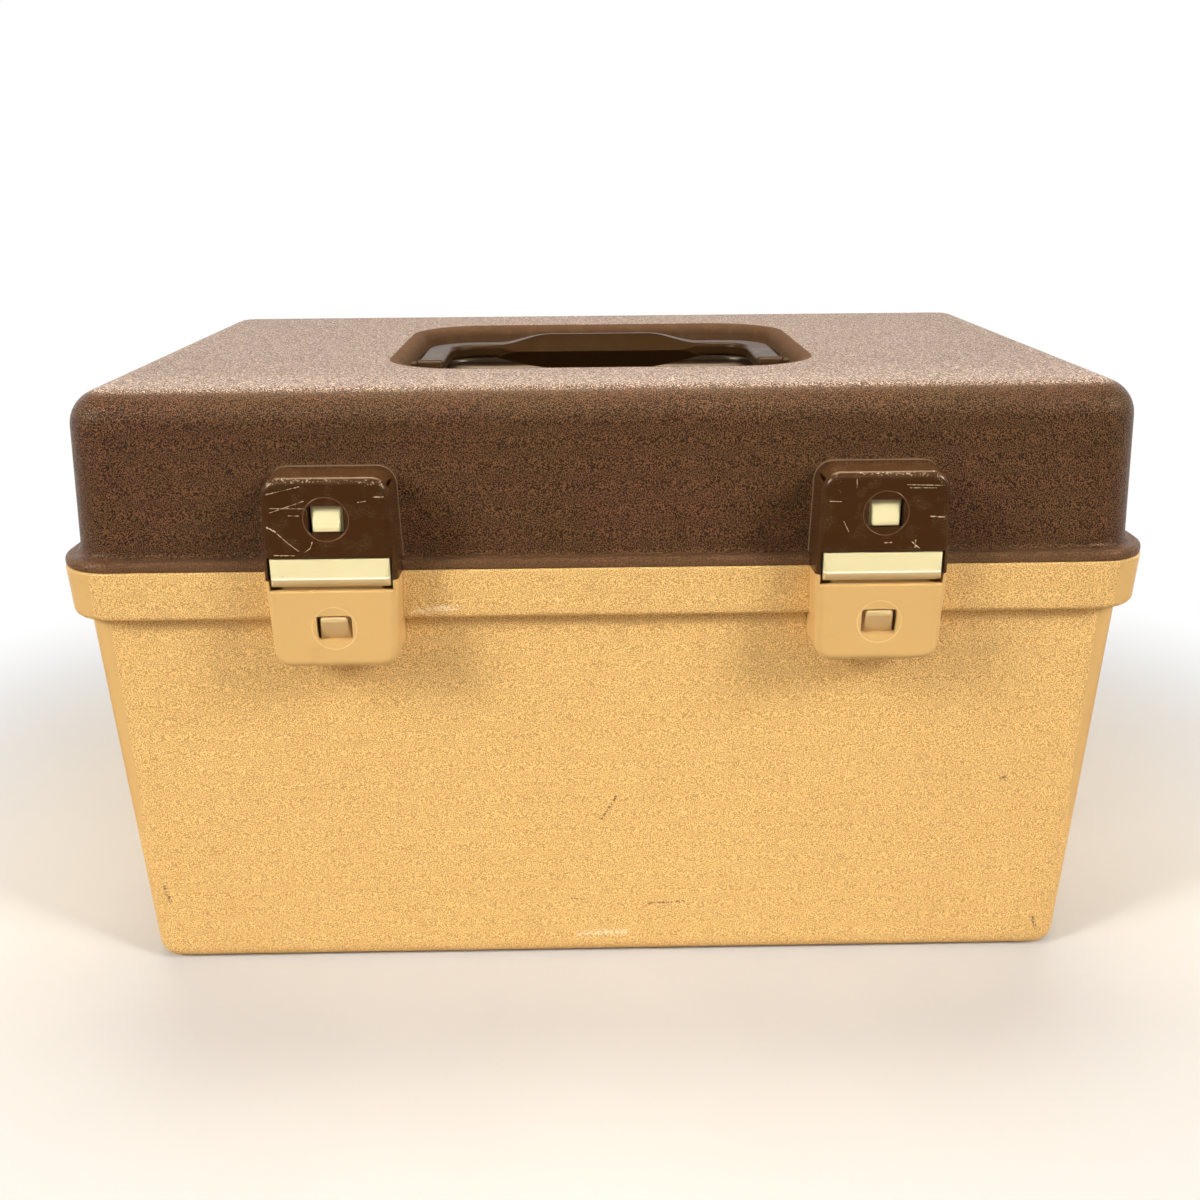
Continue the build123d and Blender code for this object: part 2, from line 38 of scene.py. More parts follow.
MM = 0.001
bpy.context.scene.view_settings.view_transform = "Standard"
print("view transform:", bpy.context.scene.view_settings.view_transform)

# %% [markdown]
# ## The camera
#
# The photograph was taken from less than half a metre away, a little above the box. The camera's
# place and angles were worked out from the straight edges of the box. A camera in Blender looks
# down its own -Z axis, so it is first raised to the horizontal, then tilted, turned and rolled.

# %% Place the camera
camera_place = Vector((-6.7, -463.5, 254.4)) * MM
turn_right = math.radians(0.75)
tilt_down = math.radians(18.92)
roll_clockwise = math.radians(0.48)

camera_data = bpy.data.cameras.new("photo_camera")
camera_data.sensor_width = 36.0
camera_data.lens = 37.99
camera_data.clip_start = 10 * MM
camera_data.clip_end = 30.0
camera = bpy.data.objects.new("photo_camera", camera_data)
bpy.context.scene.collection.objects.link(camera)
turn = Matrix.Rotation(-turn_right, 4, "Z")
tilt = Matrix.Rotation(math.pi / 2 - tilt_down, 4, "X")
roll = Matrix.Rotation(-roll_clockwise, 4, "Z")
camera.matrix_world = Matrix.Translation(camera_place) @ (turn @ tilt) @ roll
bpy.context.scene.camera = camera
print("camera stands", round(-camera_place.y / MM), "mm in front of the box's middle")

# %% [markdown]
# ## Small helpers for nodes
#
# A finish is a graph of nodes, and most of its nodes only add, compare or fade numbers. Wiring
# them one by one takes many lines, so helpers do it. `plug` joins an output to a socket or sets
# the socket to a plain value. The others add nodes and return what comes out of them.

# %% Helpers for numbers
def plug(tree, value, socket):
    """Join an output to a socket, or set the socket to a plain value."""
    if isinstance(value, bpy.types.NodeSocket):
        tree.links.new(value, socket)
    else:
        socket.default_value = value


def number(tree, operation, *values):
    """Add a Math node and return its result."""
    node = tree.nodes.new("ShaderNodeMath")
    node.operation = operation
    for value, socket in zip(values, node.inputs):
        plug(tree, value, socket)
    return node.outputs[0]


def vector(tree, operation, *values):
    """Add a Vector Math node and return its result."""
    node = tree.nodes.new("ShaderNodeVectorMath")
    node.operation = operation
    for value, socket in zip(values, node.inputs):
        plug(tree, value, socket)
    return node.outputs["Value" if operation in ("DOT_PRODUCT", "DISTANCE") else "Vector"]


def product(tree, first, *others):
    """Multiply numbers. Of masks, this is where every one of them holds."""
    for other in others:
        first = number(tree, "MULTIPLY", first, other)
    return first


def highest(tree, first, *others):
    """Take the highest number. Of masks, this is where any of them holds."""
    for other in others:
        first = number(tree, "MAXIMUM", first, other)
    return first


def opposite(tree, mask):
    """1 where a mask is 0, and 0 where it is 1."""
    return number(tree, "SUBTRACT", 1.0, mask)


def gap(tree, value, level):
    """How far a number is from a level, either way."""
    return number(tree, "ABSOLUTE", number(tree, "SUBTRACT", value, level))


def mix_number(tree, amount, first, second):
    """Mix two numbers, each an output or a plain number."""
    node = tree.nodes.new("ShaderNodeMix")
    for value, socket in ((amount, 0), (first, 2), (second, 3)):
        plug(tree, value, node.inputs[socket])
    return node.outputs[0]


print("helpers for numbers are ready")

# %% [markdown]
# A mask is a number that is 1 in one place and 0 elsewhere, and a soft border between the two
# looks natural. A fade makes such a border from any number, such as a height or a noise.

# %% Helpers for masks
def fade(tree, value, start, end, low=0.0, high=1.0):
    """Turn a number into another that goes smoothly from low to high between start and end."""
    node = tree.nodes.new("ShaderNodeMapRange")
    node.interpolation_type = "SMOOTHSTEP"
    given = {"Value": value, "From Min": start, "From Max": end, "To Min": low, "To Max": high}
    for name, setting in given.items():
        plug(tree, setting, node.inputs[name])
    return node.outputs["Result"]


def above(tree, value, level, border):
    """1 over a level, 0 under it, and a soft border that reaches so far either way."""
    return fade(tree, value, level - border, level + border)


def below(tree, value, level, border):
    """1 under a level, 0 over it, and a soft border that reaches so far either way."""
    return fade(tree, value, level + border, level - border)


def noise(tree, place, size, detail=2.0, roughness=0.5, distortion=0.0):
    """Cloudy noise whose blotches are about one size across."""
    node = tree.nodes.new("ShaderNodeTexNoise")
    plug(tree, place, node.inputs["Vector"])
    node.inputs["Scale"].default_value = 1 / size
    node.inputs["Detail"].default_value = detail
    node.inputs["Roughness"].default_value = roughness
    node.inputs["Distortion"].default_value = distortion
    return node.outputs["Fac"]


def patches(tree, place, size, start, end, detail=3.0, roughness=0.5):
    """Patches about one size across: 0 where the noise is under start, 1 where it is over end."""
    return fade(tree, noise(tree, place, size, detail, roughness), start, end)


def drift(tree, place, size, least, spread, detail):
    """Number that drifts from place to place between least and least plus spread."""
    return number(tree, "MULTIPLY_ADD", noise(tree, place, size, detail), spread, least)


print("helpers for masks are ready")

# %% [markdown]
# Colours are easiest to choose as a screen shows them, from 0 to 255, while a shader counts
# light. `rgb` turns one into the other. `coat` lays a paint over a colour where a mask is 1.

# %% Helpers for colours and materials
def rgb(red, green, blue):
    """Colour as a screen shows it, from 0 to 255, turned into the linear values of a shader."""
    def linear(level):
        share = level / 255
        return share / 12.92 if share <= 0.04045 else ((share + 0.055) / 1.055) ** 2.4
    return (linear(red), linear(green), linear(blue), 1.0)


def mix_colour(tree, amount, first, second):
    """Mix two colours, each an output or a plain colour."""
    node = tree.nodes.new("ShaderNodeMix")
    node.data_type = "RGBA"
    for value, socket in ((amount, 0), (first, 6), (second, 7)):
        plug(tree, value, node.inputs[socket])
    return node.outputs[2]


def coat(tree, colour, paint, mask, strength=1.0):
    """Lay a paint over a colour where the mask is 1, as thickly as the strength says."""
    return mix_colour(tree, product(tree, mask, strength), colour, paint)


def object_place(tree):
    """Where a point lies in its own piece, however the piece has moved."""
    return tree.nodes.new("ShaderNodeTexCoord").outputs["Object"]


def parts(tree, arrow):
    """The X, Y and Z of a vector."""
    node = tree.nodes.new("ShaderNodeSeparateXYZ")
    plug(tree, arrow, node.inputs[0])
    return node.outputs["X"], node.outputs["Y"], node.outputs["Z"]


def new_finish(name):
    """Material with its node tree and its principled shader."""
    material = bpy.data.materials.new(name)
    material.use_nodes = True
    return material, material.node_tree, material.node_tree.nodes["Principled BSDF"]


def relief(tree, height, depth, shader):
    """Bump whose height of 1 stands a given depth proud."""
    bump = tree.nodes.new("ShaderNodeBump")
    bump.inputs["Distance"].default_value = depth
    plug(tree, height, bump.inputs["Height"])
    tree.links.new(bump.outputs["Normal"], shader.inputs["Normal"])


print("a mid grey of 128 is", round(rgb(128, 128, 128)[0], 3), "to a shader")

# %% [markdown]
# Everything about this box is a rounded rectangle: its outline from above, the housings, the
# well. A rounded rectangle has a simple distance formula, negative inside and positive outside,
# and a fade on that distance later tells a finish where polish ends and grain starts.

# %% Distance helpers
def hypotenuse(tree, across, up):
    """Length of a straight line that goes so far across and so far up."""
    squares = number(tree, "ADD", product(tree, across, across), product(tree, up, up))
    return number(tree, "SQRT", squares)


def rounded_corner(tree, first, second, radius):
    """Distance to two faces with a rounded edge between them, from the distance to each face."""
    first = number(tree, "ADD", first, radius)
    second = number(tree, "ADD", second, radius)
    outer = hypotenuse(tree, highest(tree, first, 0.0), highest(tree, second, 0.0))
    inner = number(tree, "MINIMUM", highest(tree, first, second), 0.0)
    return number(tree, "SUBTRACT", number(tree, "ADD", outer, inner), radius)


def rounded_distance(tree, across, up, half_across, half_up, corner):
    """Distance to a rounded rectangle's outline, negative inside it."""
    to_side = number(tree, "SUBTRACT", number(tree, "ABSOLUTE", across), half_across)
    to_end = number(tree, "SUBTRACT", number(tree, "ABSOLUTE", up), half_up)
    return rounded_corner(tree, to_side, to_end, corner)


print("distances are negative inside an outline")

# %% [markdown]
# ## The studio
#
# A box needs a soft shadow to stand on, and nothing else should draw the eye. A white floor
# under a strong lamp would wash out the pale plastic. So the floor is a pale grey that takes the
# shadow, and away from the box its material fades to a white glow that only the camera sees. No
# horizon shows, and the box gets no light from it.

# %% The floor
floor_size = 12.0
floor_drop = 0.05 * MM
bpy.ops.object.select_all(action="DESELECT")
bpy.ops.mesh.primitive_plane_add(size=floor_size, location=(0, 0, -floor_drop))
floor = bpy.context.object
floor.name = "studio_floor"
floor.data.name = "studio_floor"
print("floor:", round(floor.dimensions.x), "m wide")

# %% [markdown]
# The floor's material asks what kind of ray has reached it. The camera sees the glow, and so do
# reflections of the far side. In a reflection of the near side the floor is a warm brown, which
# keeps the polished front of the box warm. A brown lamp could do the same, but it would tint the
# grained faces too.

# %% Floor paint
fade_outline = (0.155, 0.096)
fade_corner = 0.05
fade_starts = 0.03
fade_ends = 0.26
far_side_starts = 0.0
far_side_ends = 0.4
cloud_size = 60 * MM
near_brown = rgb(124, 84, 50)
pale_greys = (rgb(198, 195, 190), rgb(206, 203, 198))


def rays(tree):
    """1 where the camera sees a thing straight, and 1 where it sees it in a reflection."""
    kinds = tree.nodes.new("ShaderNodeLightPath").outputs
    mirrored = highest(tree, kinds["Is Glossy Ray"], kinds["Is Transmission Ray"])
    return kinds["Is Camera Ray"], mirrored


paint, tree, shader = new_finish("floor_paint")
place = object_place(tree)
x, y, _ = parts(tree, place)
pale = mix_colour(tree, noise(tree, place, cloud_size, detail=4), *pale_greys)
from_box = rounded_distance(tree, x, y, *fade_outline, fade_corner)
far = fade(tree, from_box, fade_starts, fade_ends)
far_side = fade(tree, y, far_side_starts, far_side_ends)
straight, mirrored = rays(tree)
near_side = product(tree, mirrored, opposite(tree, far_side))
plug(tree, coat(tree, pale, near_brown, near_side), shader.inputs["Base Color"])
shader.inputs["Roughness"].default_value = 0.6

glow = tree.nodes.new("ShaderNodeEmission")
blend = tree.nodes.new("ShaderNodeMixShader")
seen_white = highest(tree, straight, product(tree, mirrored, far_side))
plug(tree, product(tree, far, seen_white), blend.inputs[0])
tree.links.new(shader.outputs[0], blend.inputs[1])
tree.links.new(glow.outputs[0], blend.inputs[2])
tree.links.new(blend.outputs[0], tree.nodes["Material Output"].inputs["Surface"])
floor.data.materials.append(paint)
print("floor fades to white by", round(fade_ends / MM), "mm from the box")

# %% [markdown]
# The air round the box is the world. To the camera it is plain white, and to the light it is a
# soft fill. A glossy surface sees it bright low behind the box, as a backdrop would be, less
# bright at both sides, and dim overhead and in front. That is why the lid's top looks pale at a
# low angle while the upright front and the grip stay dark. A picture of a room could light the
# box as well, but these few fades need no file. Each part of a direction lies between -1 and 1,
# and so do the borders of the bright places.

# %% The air
fill_strength = 0.16
backdrop_brightness = 1.12
room_brightness = 0.05
side_share = 0.7
backdrop_behind = (0.10, 0.70)
backdrop_height = (0.62, 0.35)
side_turn = (0.72, 0.92)
side_height = (0.50, 0.30)

world = bpy.data.worlds.new("studio_air")
bpy.context.scene.world = world
world.use_nodes = True
tree = world.node_tree
tree.nodes.clear()
x, y, z = parts(tree, tree.nodes.new("ShaderNodeTexCoord").outputs["Generated"])
backdrop = product(tree, fade(tree, y, *backdrop_behind), fade(tree, z, *backdrop_height))
beside = fade(tree, number(tree, "ABSOLUTE", x), *side_turn)
sides = product(tree, beside, fade(tree, z, *side_height), side_share)
bright = highest(tree, backdrop, sides)
mirror_light = mix_number(tree, bright, room_brightness, backdrop_brightness)
straight, mirrored = rays(tree)
strength = mix_number(tree, mirrored, fill_strength, mirror_light)
air = tree.nodes.new("ShaderNodeBackground")
plug(tree, mix_number(tree, straight, strength, 1.0), air.inputs["Strength"])
air.inputs["Color"].default_value = (1.0, 1.0, 1.0, 1.0)
output = tree.nodes.new("ShaderNodeOutputWorld")
tree.links.new(air.outputs[0], output.inputs["Surface"])
print("fill light:", fill_strength)

# %% [markdown]
# Two softboxes stand left and right of the camera. Each housing in the photograph has a soft
# shadow on its inner side, so each half of the box takes its light from its own side. A narrow
# spread keeps each lamp to its half. A third lamp hangs high in front and catches the grain, and
# a fourth, above and behind, draws the pale band along the lid's rolled front edge.

# %% Softboxes
def softbox(name, place, aim, size, watts, spread=180, tint=(1.0, 1.0, 1.0)):
    """Rectangular lamp at a place, facing a point, whose light keeps within a spread in degrees."""
    lamp = bpy.data.lights.new(name, "AREA")
    lamp.shape = "RECTANGLE"
    lamp.size, lamp.size_y = size
    lamp.energy = watts
    lamp.spread = math.radians(spread)
    lamp.color = tint
    holder = bpy.data.objects.new(name, lamp)
    bpy.context.scene.collection.objects.link(holder)
    towards = Vector(aim) - Vector(place)
    turn = towards.to_track_quat("-Z", "Y").to_matrix().to_4x4()
    holder.matrix_world = Matrix.Translation(place) @ turn
    print(name, "gives", watts, "W")


left_half = (-0.13, -0.11, 0.12)
right_half = (0.13, -0.11, 0.12)
middle = (0.0, -0.05, 0.1)
warm = (1.0, 0.88, 0.72)
softbox("softbox_left", (-1.15, -0.75, 0.85), left_half, (0.4, 0.7), watts=1.1, spread=30)
softbox("softbox_right", (1.15, -0.75, 0.85), right_half, (0.4, 0.7), watts=1.0, spread=30)
softbox("softbox_high", (0.0, -1.2, 1.1), middle, (1.8, 1.0), watts=4.4)
softbox("softbox_over", (0.0, 0.16, 0.85), middle, (0.8, 0.3), watts=2.0, spread=80, tint=warm)

# %% [markdown]
# ## The leather grain
#
# Both shells came out of moulds whose walls were etched with a fine leather grain. Up close it
# is a field of short, winding ridges, each about a third of a millimetre wide, whichever way
# they run. One layer of noise has just that character, because its blotches all have nearly
# one size. A little distortion winds them, and a fade sharpens them into ridges and creases.
# The cells of a Voronoi texture would give round pebbles instead.

# %% Grain node group
ridge_width = 0.33 * MM
crease_level = 0.36
ridge_level = 0.64


def new_group(name, inputs, outputs):
    """Empty node group with its sockets, and the two nodes that stand for them inside."""
    group = bpy.data.node_groups.new(name, "ShaderNodeTree")
    for title, kind in inputs.items():
        group.interface.new_socket(title, in_out="INPUT", socket_type=kind)
    for title, kind in outputs.items():
        group.interface.new_socket(title, in_out="OUTPUT", socket_type=kind)
    inside, outside = group.nodes.new("NodeGroupInput"), group.nodes.new("NodeGroupOutput")
    return group, inside.outputs, outside.inputs


grain_group, given, result = new_group(
    "leather_grain", {"Place": "NodeSocketVector"}, {"Height": "NodeSocketFloat"}
)
winding = noise(grain_group, given["Place"], ridge_width, detail=0.6, distortion=0.35)
plug(grain_group, fade(grain_group, winding, crease_level, ridge_level), result["Height"])


def grain(tree, place):
    """Height of the leather grain at a place: 1 on a ridge, 0 in a crease."""
    node = tree.nodes.new("ShaderNodeGroup")
    node.node_tree = grain_group
    plug(tree, place, node.inputs["Place"])
    return node.outputs["Height"]


print("grain: ridges", round(ridge_width / MM, 2), "mm wide")

# %% [markdown]
# ## Scratches
#
# A box that has been carried about has scratches in known places. Each one is a stroke from one
# point to another: a point of the surface belongs to it when its distance to that line is less
# than the stroke's width. Noise eats into the stroke, so that it comes and goes as a real one.
# Scratches could be painted on a picture too, but strokes stay sharp at any size.

# %% Stroke node group
bite_size = 0.9 * MM
bite_starts = 0.65
bite_ends = 0.35
least_share = 0.1
solid_share = 0.35

stroke_group, given, result = new_group(
    "stroke",
    {
        "Place": "NodeSocketVector", "From": "NodeSocketVector",
        "To": "NodeSocketVector", "Width": "NodeSocketFloat",
    },
    {"Mask": "NodeSocketFloat"},
)
along = vector(stroke_group, "SUBTRACT", given["To"], given["From"])
offset = vector(stroke_group, "SUBTRACT", given["Place"], given["From"])
length_squared = vector(stroke_group, "DOT_PRODUCT", along, along)
reached = vector(stroke_group, "DOT_PRODUCT", offset, along)
reached = number(stroke_group, "DIVIDE", reached, length_squared)
reached = number(stroke_group, "MINIMUM", highest(stroke_group, reached, 0.0), 1.0)
nearest = stroke_group.nodes.new("ShaderNodeVectorMath")
nearest.operation = "SCALE"
plug(stroke_group, along, nearest.inputs[0])
plug(stroke_group, reached, nearest.inputs["Scale"])
away = vector(stroke_group, "DISTANCE", offset, nearest.outputs[0])
ragged = noise(stroke_group, given["Place"], bite_size, detail=3)
left_over = fade(stroke_group, ragged, bite_ends, bite_starts, least_share, 1.0)
limit = product(stroke_group, given["Width"], left_over)
mask = fade(stroke_group, number(stroke_group, "DIVIDE", away, limit), 1.0, solid_share)
plug(stroke_group, mask, result["Mask"])
print("stroke group has", len(stroke_group.nodes), "nodes")

# %% [markdown]
# A list of strokes lies on one face of the box. A face is given by how far it stands before the
# middle of the box at floor level, and by how much it leans forwards as it rises.

# %% Lists of strokes
def strokes(tree, place, marks, foot, slope=0.0):
    """Mask of all marks of a list, each (x, z, x, z, width) in mm, on a face at the front."""
    total = 0.0
    for from_x, from_z, to_x, to_z, width in marks:
        node = tree.nodes.new("ShaderNodeGroup")
        node.node_tree = stroke_group
        plug(tree, place, node.inputs["Place"])
        start = Vector((from_x, -(foot + from_z * slope), from_z)) * MM
        end = Vector((to_x, -(foot + to_z * slope), to_z)) * MM
        for value, name in ((start, "From"), (end, "To"), (width * MM, "Width")):
            node.inputs[name].default_value = value
        total = highest(tree, total, node.outputs["Mask"])
    return total


def hairlines(tree, place, size, stretch, start):
    """Fine random scratches: the creases of cells that are stretched along X, kept in patches."""
    patch_size = 5 * MM
    patch_border = 0.12
    line_width = 0.03
    tilt = math.radians(9)
    mapping = tree.nodes.new("ShaderNodeMapping")
    mapping.inputs["Scale"].default_value = (1.0, stretch, stretch)
    mapping.inputs["Rotation"].default_value = (0.0, tilt, 0.0)
    plug(tree, place, mapping.inputs["Vector"])
    cells = tree.nodes.new("ShaderNodeTexVoronoi")
    cells.feature = "DISTANCE_TO_EDGE"
    plug(tree, mapping.outputs[0], cells.inputs["Vector"])
    cells.inputs["Scale"].default_value = 1 / size
    line = fade(tree, cells.outputs["Distance"], line_width, 0.0)
    return product(tree, line, patches(tree, place, patch_size, start, start + patch_border))


print("scratches are ready")

# %% [markdown]
# ## Where each surface is smooth
#
# The latch housings and the handle's well were left polished in the mould, and so was the whole
# inside. A material can tell these places by position: the distance helpers give how far a point
# is from an outline, and a fade on that distance gives a clean border between grain and polish.
# Separate slots on the mesh could do it too, but their borders would follow its triangles. The
# sizes are the solid model's, with a few tenths of a millimetre more round the housings, so that
# their rolled edges are polished too. There are housings left and right of the middle, so the
# distance to the nearest is measured from the absolute value of X.

# %% The housings
seam = 141.7 * MM
housing_x = 79.8 * MM
housing_half_width = 19.75 * MM
housing_high = seam + 30.9 * MM
housing_low = seam - 27.5 * MM
housing_corner = 5.5 * MM
housing_lean = math.tan(math.radians(2.4))
housing_border = 0.1 * MM
before_walls = 99 * MM


def from_housing(tree, x):
    """Distance across from the middle of the nearest housings, positive outwards."""
    return number(tree, "SUBTRACT", number(tree, "ABSOLUTE", x), housing_x)


def housing_mask(tree, x, y, z):
    """1 on the latch housings, 0 elsewhere."""
    narrowing = product(tree, gap(tree, z, seam), housing_lean)
    across = number(tree, "ABSOLUTE", from_housing(tree, x))
    across = number(tree, "ADD", across, narrowing)
    up = number(tree, "SUBTRACT", z, (housing_low + housing_high) / 2)
    half_height = (housing_high - housing_low) / 2
    outline = rounded_distance(tree, across, up, housing_half_width, half_height, housing_corner)
    inside = below(tree, outline, 0.0, housing_border)
    return product(tree, inside, number(tree, "LESS_THAN", y, -before_walls))


print("polished housings are", round(2 * housing_half_width / MM, 1), "mm wide")

# %% [markdown]
# The mould left a fine raised ring round each window of the housings. It is far too fine to
# model, so it is drawn as a thin band at one distance from the window's middle, painted pale as a
# painted highlight where its raised edges catch the light. A shell's wall needs a distance too.
# It leans, so its outline from above grows or shrinks with height.

# %% Rings and walls
ring_radius = 6.5 * MM
ring_half_width = 0.16 * MM
ring_border = 0.08 * MM


def window_ring(tree, x, z, level):
    """1 on the thin ring about the windows whose middle is at a level."""
    radius = hypotenuse(tree, from_housing(tree, x), number(tree, "SUBTRACT", z, level))
    return below(tree, gap(tree, radius, ring_radius), ring_half_width, ring_border)


def wall_distance(tree, x, y, half, corner, level, slope):
    """Distance to a shell's outer wall, which leans outwards by a slope with the level."""
    half_x = number(tree, "MULTIPLY_ADD", level, slope, half[0])
    half_y = number(tree, "MULTIPLY_ADD", level, slope, half[1])
    return rounded_distance(tree, x, y, half_x, half_y, corner)


print("window rings are", round(2 * ring_radius / MM, 1), "mm across")

# %% [markdown]
# ## Brown plastic: the lid
#
# The lid is one moulding with grained and polished faces, so one material does it all, and it
# first finds out where it is. Inside is where a point lies more than a thin skin behind the
# The lip of the well gets a mask of its own, because hands have dulled it, and its rolled edge
# is painted paler there, as painted light.

# %% Where the lid is polished
lid_top = 193.7 * MM
lid_half = (160.6 * MM, 101.6 * MM)
lid_slope = -math.tan(math.radians(2.74))
lid_corner = 14.0 * MM
lid_edge = 11.0 * MM
skin = 1.2 * MM
well_half = (67.2 * MM, 54.2 * MM)
well_corner = 22.6 * MM
well_polish = 3.8 * MM
well_border = 0.4 * MM
lip_middle = 0.8 * MM
lip_half_width = 3.2 * MM

brown, tree, shader = new_finish("brown_moulded_plastic")
place = object_place(tree)
x, y, z = parts(tree, place)
from_well = rounded_distance(tree, x, y, *well_half, well_corner)
well = below(tree, from_well, well_polish, well_border)
well_lip = below(tree, gap(tree, from_well, lip_middle), lip_half_width, well_border)
above_seam = number(tree, "SUBTRACT", z, seam)
wall = wall_distance(tree, x, y, lid_half, lid_corner, above_seam, lid_slope)
shell = rounded_corner(tree, wall, number(tree, "SUBTRACT", z, lid_top), lid_edge)
inner = number(tree, "LESS_THAN", shell, -skin)
housings = housing_mask(tree, x, y, z)
polished = highest(tree, housings, well, inner)
grained = opposite(tree, polished)
print("finding the lid's polished places took", len(tree.nodes), "nodes")

# %% [markdown]
# The lid's colour was mixed into the plastic, so it is nearly even, with a faint clouding that
# shifts it between red-brown and olive. The creases are painted darker, as painted shade, and the
# crowns of the ridges paler, as painted glints, and small pale flecks are painted glints too. Pale
# specks lie on the flat top, most of them near the front: partly dust and partly painted glints.
# The height of the grain drives both colours, so colour and relief always match.

# %% Colour of the lid's grain
crease_shade_browns = (rgb(42, 23, 14), rgb(38, 26, 10))
crown_glint_browns = (rgb(130, 80, 57), rgb(120, 87, 44))
pale_glint_fleck = rgb(150, 122, 96)
pale_dust_and_glint = rgb(232, 206, 184)
paler_flange_brown = rgb(150, 108, 74)
crown_starts = 0.40
top_level = lid_top - 0.85 * MM
top_border = 0.65 * MM
specks_back = -50 * MM
specks_front = -88 * MM
least_specks = 0.65
flange_level = seam + 3.3 * MM
flange_border = 0.3 * MM

ridges = grain(tree, place)
clouds = noise(tree, place, 22 * MM, detail=3)
# Painted shade: the creases are painted darker. Painted glints: the crowns are painted paler.
creases = mix_colour(tree, clouds, *crease_shade_browns)
crowns = mix_colour(tree, clouds, *crown_glint_browns)
leather = mix_colour(tree, fade(tree, ridges, crown_starts, 1.0), creases, crowns)
# Painted glints: small pale flecks over the grain.
glint_flecks = patches(tree, place, 0.45 * MM, 0.66, 0.74, detail=2)
leather = coat(tree, leather, pale_glint_fleck, glint_flecks, strength=0.35)
# Pale specks on the top, most near the front: partly dust and partly painted glints.
on_top = above(tree, z, top_level, top_border)
near_front = fade(tree, y, specks_back, specks_front, least_specks, 1.0)
dust = patches(tree, place, 0.5 * MM, 0.50, 0.60, detail=1)
leather = coat(tree, leather, pale_dust_and_glint, product(tree, dust, on_top, near_front))
# The flange is painted a little paler.
on_flange = below(tree, z, flange_level, flange_border)
leather = coat(tree, leather, paler_flange_brown, on_flange, strength=0.25)
print("grain colours are mixed")

# %% [markdown]
# The polished places are darker and deeper in colour. A housing's sides are painted paler, as
# painted light, and a painted highlight runs where it meets the wall. Each window's fine ring is
# painted pale, as a painted highlight, the well's lip is painted paler, as painted light on its
# roll, and the well is darkest at its bottom, where little light comes, as painted shade.

# %% Colour of the lid's polish
polished_browns = (rgb(66, 39, 19), rgb(61, 38, 17))
side_light_brown = rgb(78, 52, 30)
root_highlight_paint = rgb(150, 122, 94)
ring_highlight_brown = rgb(132, 92, 66)
lit_lip_brown = rgb(84, 58, 36)
well_shade = rgb(16, 8, 3)
upper_window = 160.0 * MM
well_floor = lid_top - 18.2 * MM
well_dusk = lid_top - 8 * MM
well_dusk_border = 4 * MM
plate_edge = -113.7 * MM
plate_border = 0.9 * MM
root_width = 0.85 * MM
root_border = 0.35 * MM
deepest = 0.85

sheen = mix_colour(tree, clouds, *polished_browns)
# Painted light: the housings' sides are painted paler.
sides = product(tree, above(tree, y, plate_edge, plate_border), housings)
sheen = coat(tree, sheen, side_light_brown, sides, strength=0.5)
# Painted highlight: a pale line where a housing meets the wall.
root_highlight_mask = product(tree, below(tree, wall, root_width, root_border), sides)
sheen = coat(tree, sheen, root_highlight_paint, root_highlight_mask, strength=0.6)
# Painted highlight: the ring about each upper window is painted pale.
ring = product(tree, window_ring(tree, x, z, upper_window), housings)
sheen = coat(tree, sheen, ring_highlight_brown, ring, strength=0.4)
# Painted light: the lip of the well is painted paler.
sheen = coat(tree, sheen, lit_lip_brown, well_lip, strength=0.6)
dusk = below(tree, z, well_dusk, well_dusk_border)
deep = product(tree, dusk, number(tree, "GREATER_THAN", z, well_floor), well, deepest)
sheen = coat(tree, sheen, well_shade, deep)
colour = mix_colour(tree, polished, leather, sheen)
print("polish colours are mixed")

# %% [markdown]
# The scratches on the two upper housings are read off the photograph. Each is given from the
# middle of its housing and the seam, in millimetres, as (x, z, x, z, width), and is then moved
# to its place. Scuffs are wider strokes along the edges. Random scratches alone would do for a
# worn box, but these are the ones that tell this box from another.

# %% Marks on the upper housings
def on_housing(side, marks):
    """Marks given from a housing's middle and the seam, moved to the left (-1) or right (1)."""
    right, up = side * housing_x / MM, seam / MM
    return [(a + right, b + up, c + right, d + up, width) for a, b, c, d, width in marks]


lid_scratches = on_housing(-1, [
    (-17.3, 25.6, -6.8, 28.0, 0.22),
    (-15.7, 20.5, -5.9, 23.8, 0.16),
    (-15.6, 21.8, -6.1, 21.6, 0.14),
    (-10.4, 19.6, -7.5, 19.5, 0.22),
    (-16.9, 16.2, -14.6, 14.9, 0.40),
    (-14.2, 14.4, -11.1, 11.3, 0.16),
    (-11.1, 11.3, -8.4, 9.1, 0.16),
    (-6.8, 8.7, -5.0, 10.0, 0.20),
    (-5.0, 10.0, -4.4, 11.7, 0.24),
    (-15.6, 7.9, -9.8, 7.8, 0.26),
    (13.6, 24.8, 16.9, 24.8, 0.26),
    (9.4, 23.3, 11.6, 23.6, 0.20),
]) + on_housing(1, [
    (5.4, 26.6, 15.5, 26.3, 0.18),
    (6.3, 25.7, 13.8, 25.6, 0.20),
    (12.8, 17.3, 16.6, 17.0, 0.30),
    (-0.1, 9.6, 2.0, 9.6, 0.30),
    (7.9, 9.7, 10.1, 7.9, 0.34),
    (8.9, 8.0, 9.0, 10.2, 0.22),
    (-16.4, 22.0, -13.1, 21.9, 0.18),
    (-9.0, 29.0, -8.8, 26.0, 0.16),
    (-12.0, 16.0, -10.5, 13.0, 0.14),
])
